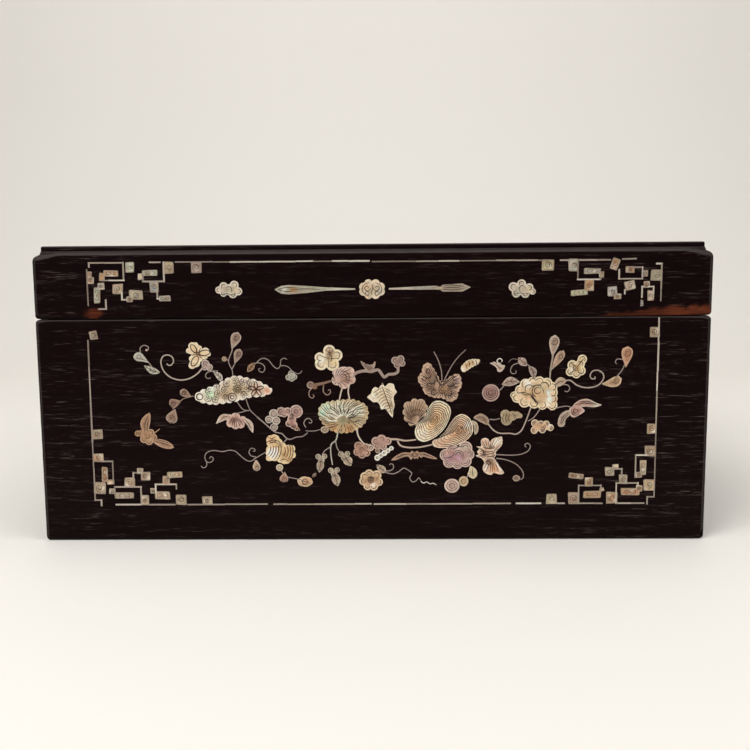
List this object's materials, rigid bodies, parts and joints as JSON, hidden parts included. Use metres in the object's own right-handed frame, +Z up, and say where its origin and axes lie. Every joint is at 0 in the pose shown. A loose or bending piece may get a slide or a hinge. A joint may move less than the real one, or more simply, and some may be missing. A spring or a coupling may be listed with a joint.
{
  "type": "inlaid lidded box",
  "caption": "Long lidded hardwood box with mitred walls, a lift-off lid on an inner lip, and mother-of-pearl flowers, butterflies and fret corners inlaid in its front.",
  "frame": {"origin": "middle of the underside, on the surface the box stands on", "axes": "+X along the box's length to the right, -Y out of the inlaid front, +Z up"},
  "size_m": [0.3226, 0.2, 0.1434],
  "materials": {
    "dark_hardwood": "old waxed very dark hardwood, worn on the edges",
    "nacre_cream": "polished cream mother-of-pearl, engraved",
    "nacre_beige": "polished beige mother-of-pearl, engraved",
    "nacre_pink": "polished pink mother-of-pearl, engraved",
    "nacre_tan": "polished tan mother-of-pearl, engraved",
    "nacre_silver": "polished silver-grey mother-of-pearl, engraved"
  },
  "bodies": {
    "root": {"arch_cluster": "nacre_pink", "bar_left": "nacre_silver", "bar_right": "nacre_silver", "bat": "nacre_tan", "bellflower": "nacre_pink", "blossom_low": "nacre_beige", "blossom_right": "nacre_cream", "blossom_top": "nacre_cream", "body_back": "dark_hardwood", "body_bottom": "dark_hardwood", "body_front": "dark_hardwood", "body_left": "dark_hardwood", "body_right": "dark_hardwood", "border_back": "nacre_beige", "border_body_bottom_left": "nacre_beige", "border_body_bottom_right": "nacre_beige", "border_body_left": "nacre_beige", "border_body_right": "nacre_beige", "border_left": "nacre_beige", "border_lid_left": "nacre_beige", "border_lid_right": "nacre_beige", "border_lid_top_left": "nacre_beige", "border_lid_top_right": "nacre_beige", "border_right": "nacre_beige", "border_top": "nacre_beige", "butterfly_large": "nacre_tan", "butterfly_small": "nacre_beige", "chrysanthemum": "nacre_silver", "cloud_left": "nacre_cream", "cloud_right": "nacre_cream", "cluster_right": "nacre_beige", "disc_fruit": "nacre_pink", "floret_spray": "nacre_beige", "flower_mid": "nacre_tan", "flower_three_petals": "nacre_cream", "fret_body_left": "nacre_beige", "fret_lid_left": "nacre_beige", "fret_lid_left_side": "nacre_beige", "fret_lid_right": "nacre_beige", "fret_lid_right_outer": "nacre_beige", "fret_lid_right_side": "nacre_beige", "leaf_spray_right": "nacre_pink", "lid_back": "dark_hardwood", "lid_front": "dark_hardwood", "lid_left": "dark_hardwood", "lid_right": "dark_hardwood", "lid_top": "dark_hardwood", "medallion": "nacre_cream", "melon_leaf": "nacre_pink", "melon_left": "nacre_cream", "melon_right": "nacre_beige", "peony_left": "nacre_cream", "peony_right": "nacre_cream", "rose_leaf": "nacre_pink", "round_leaf": "nacre_tan", "scroll_left": "nacre_silver", "scroll_right": "nacre_silver", "swallowtail": "nacre_tan", "vine_leaf": "nacre_cream"}
  },
  "joints": []
}
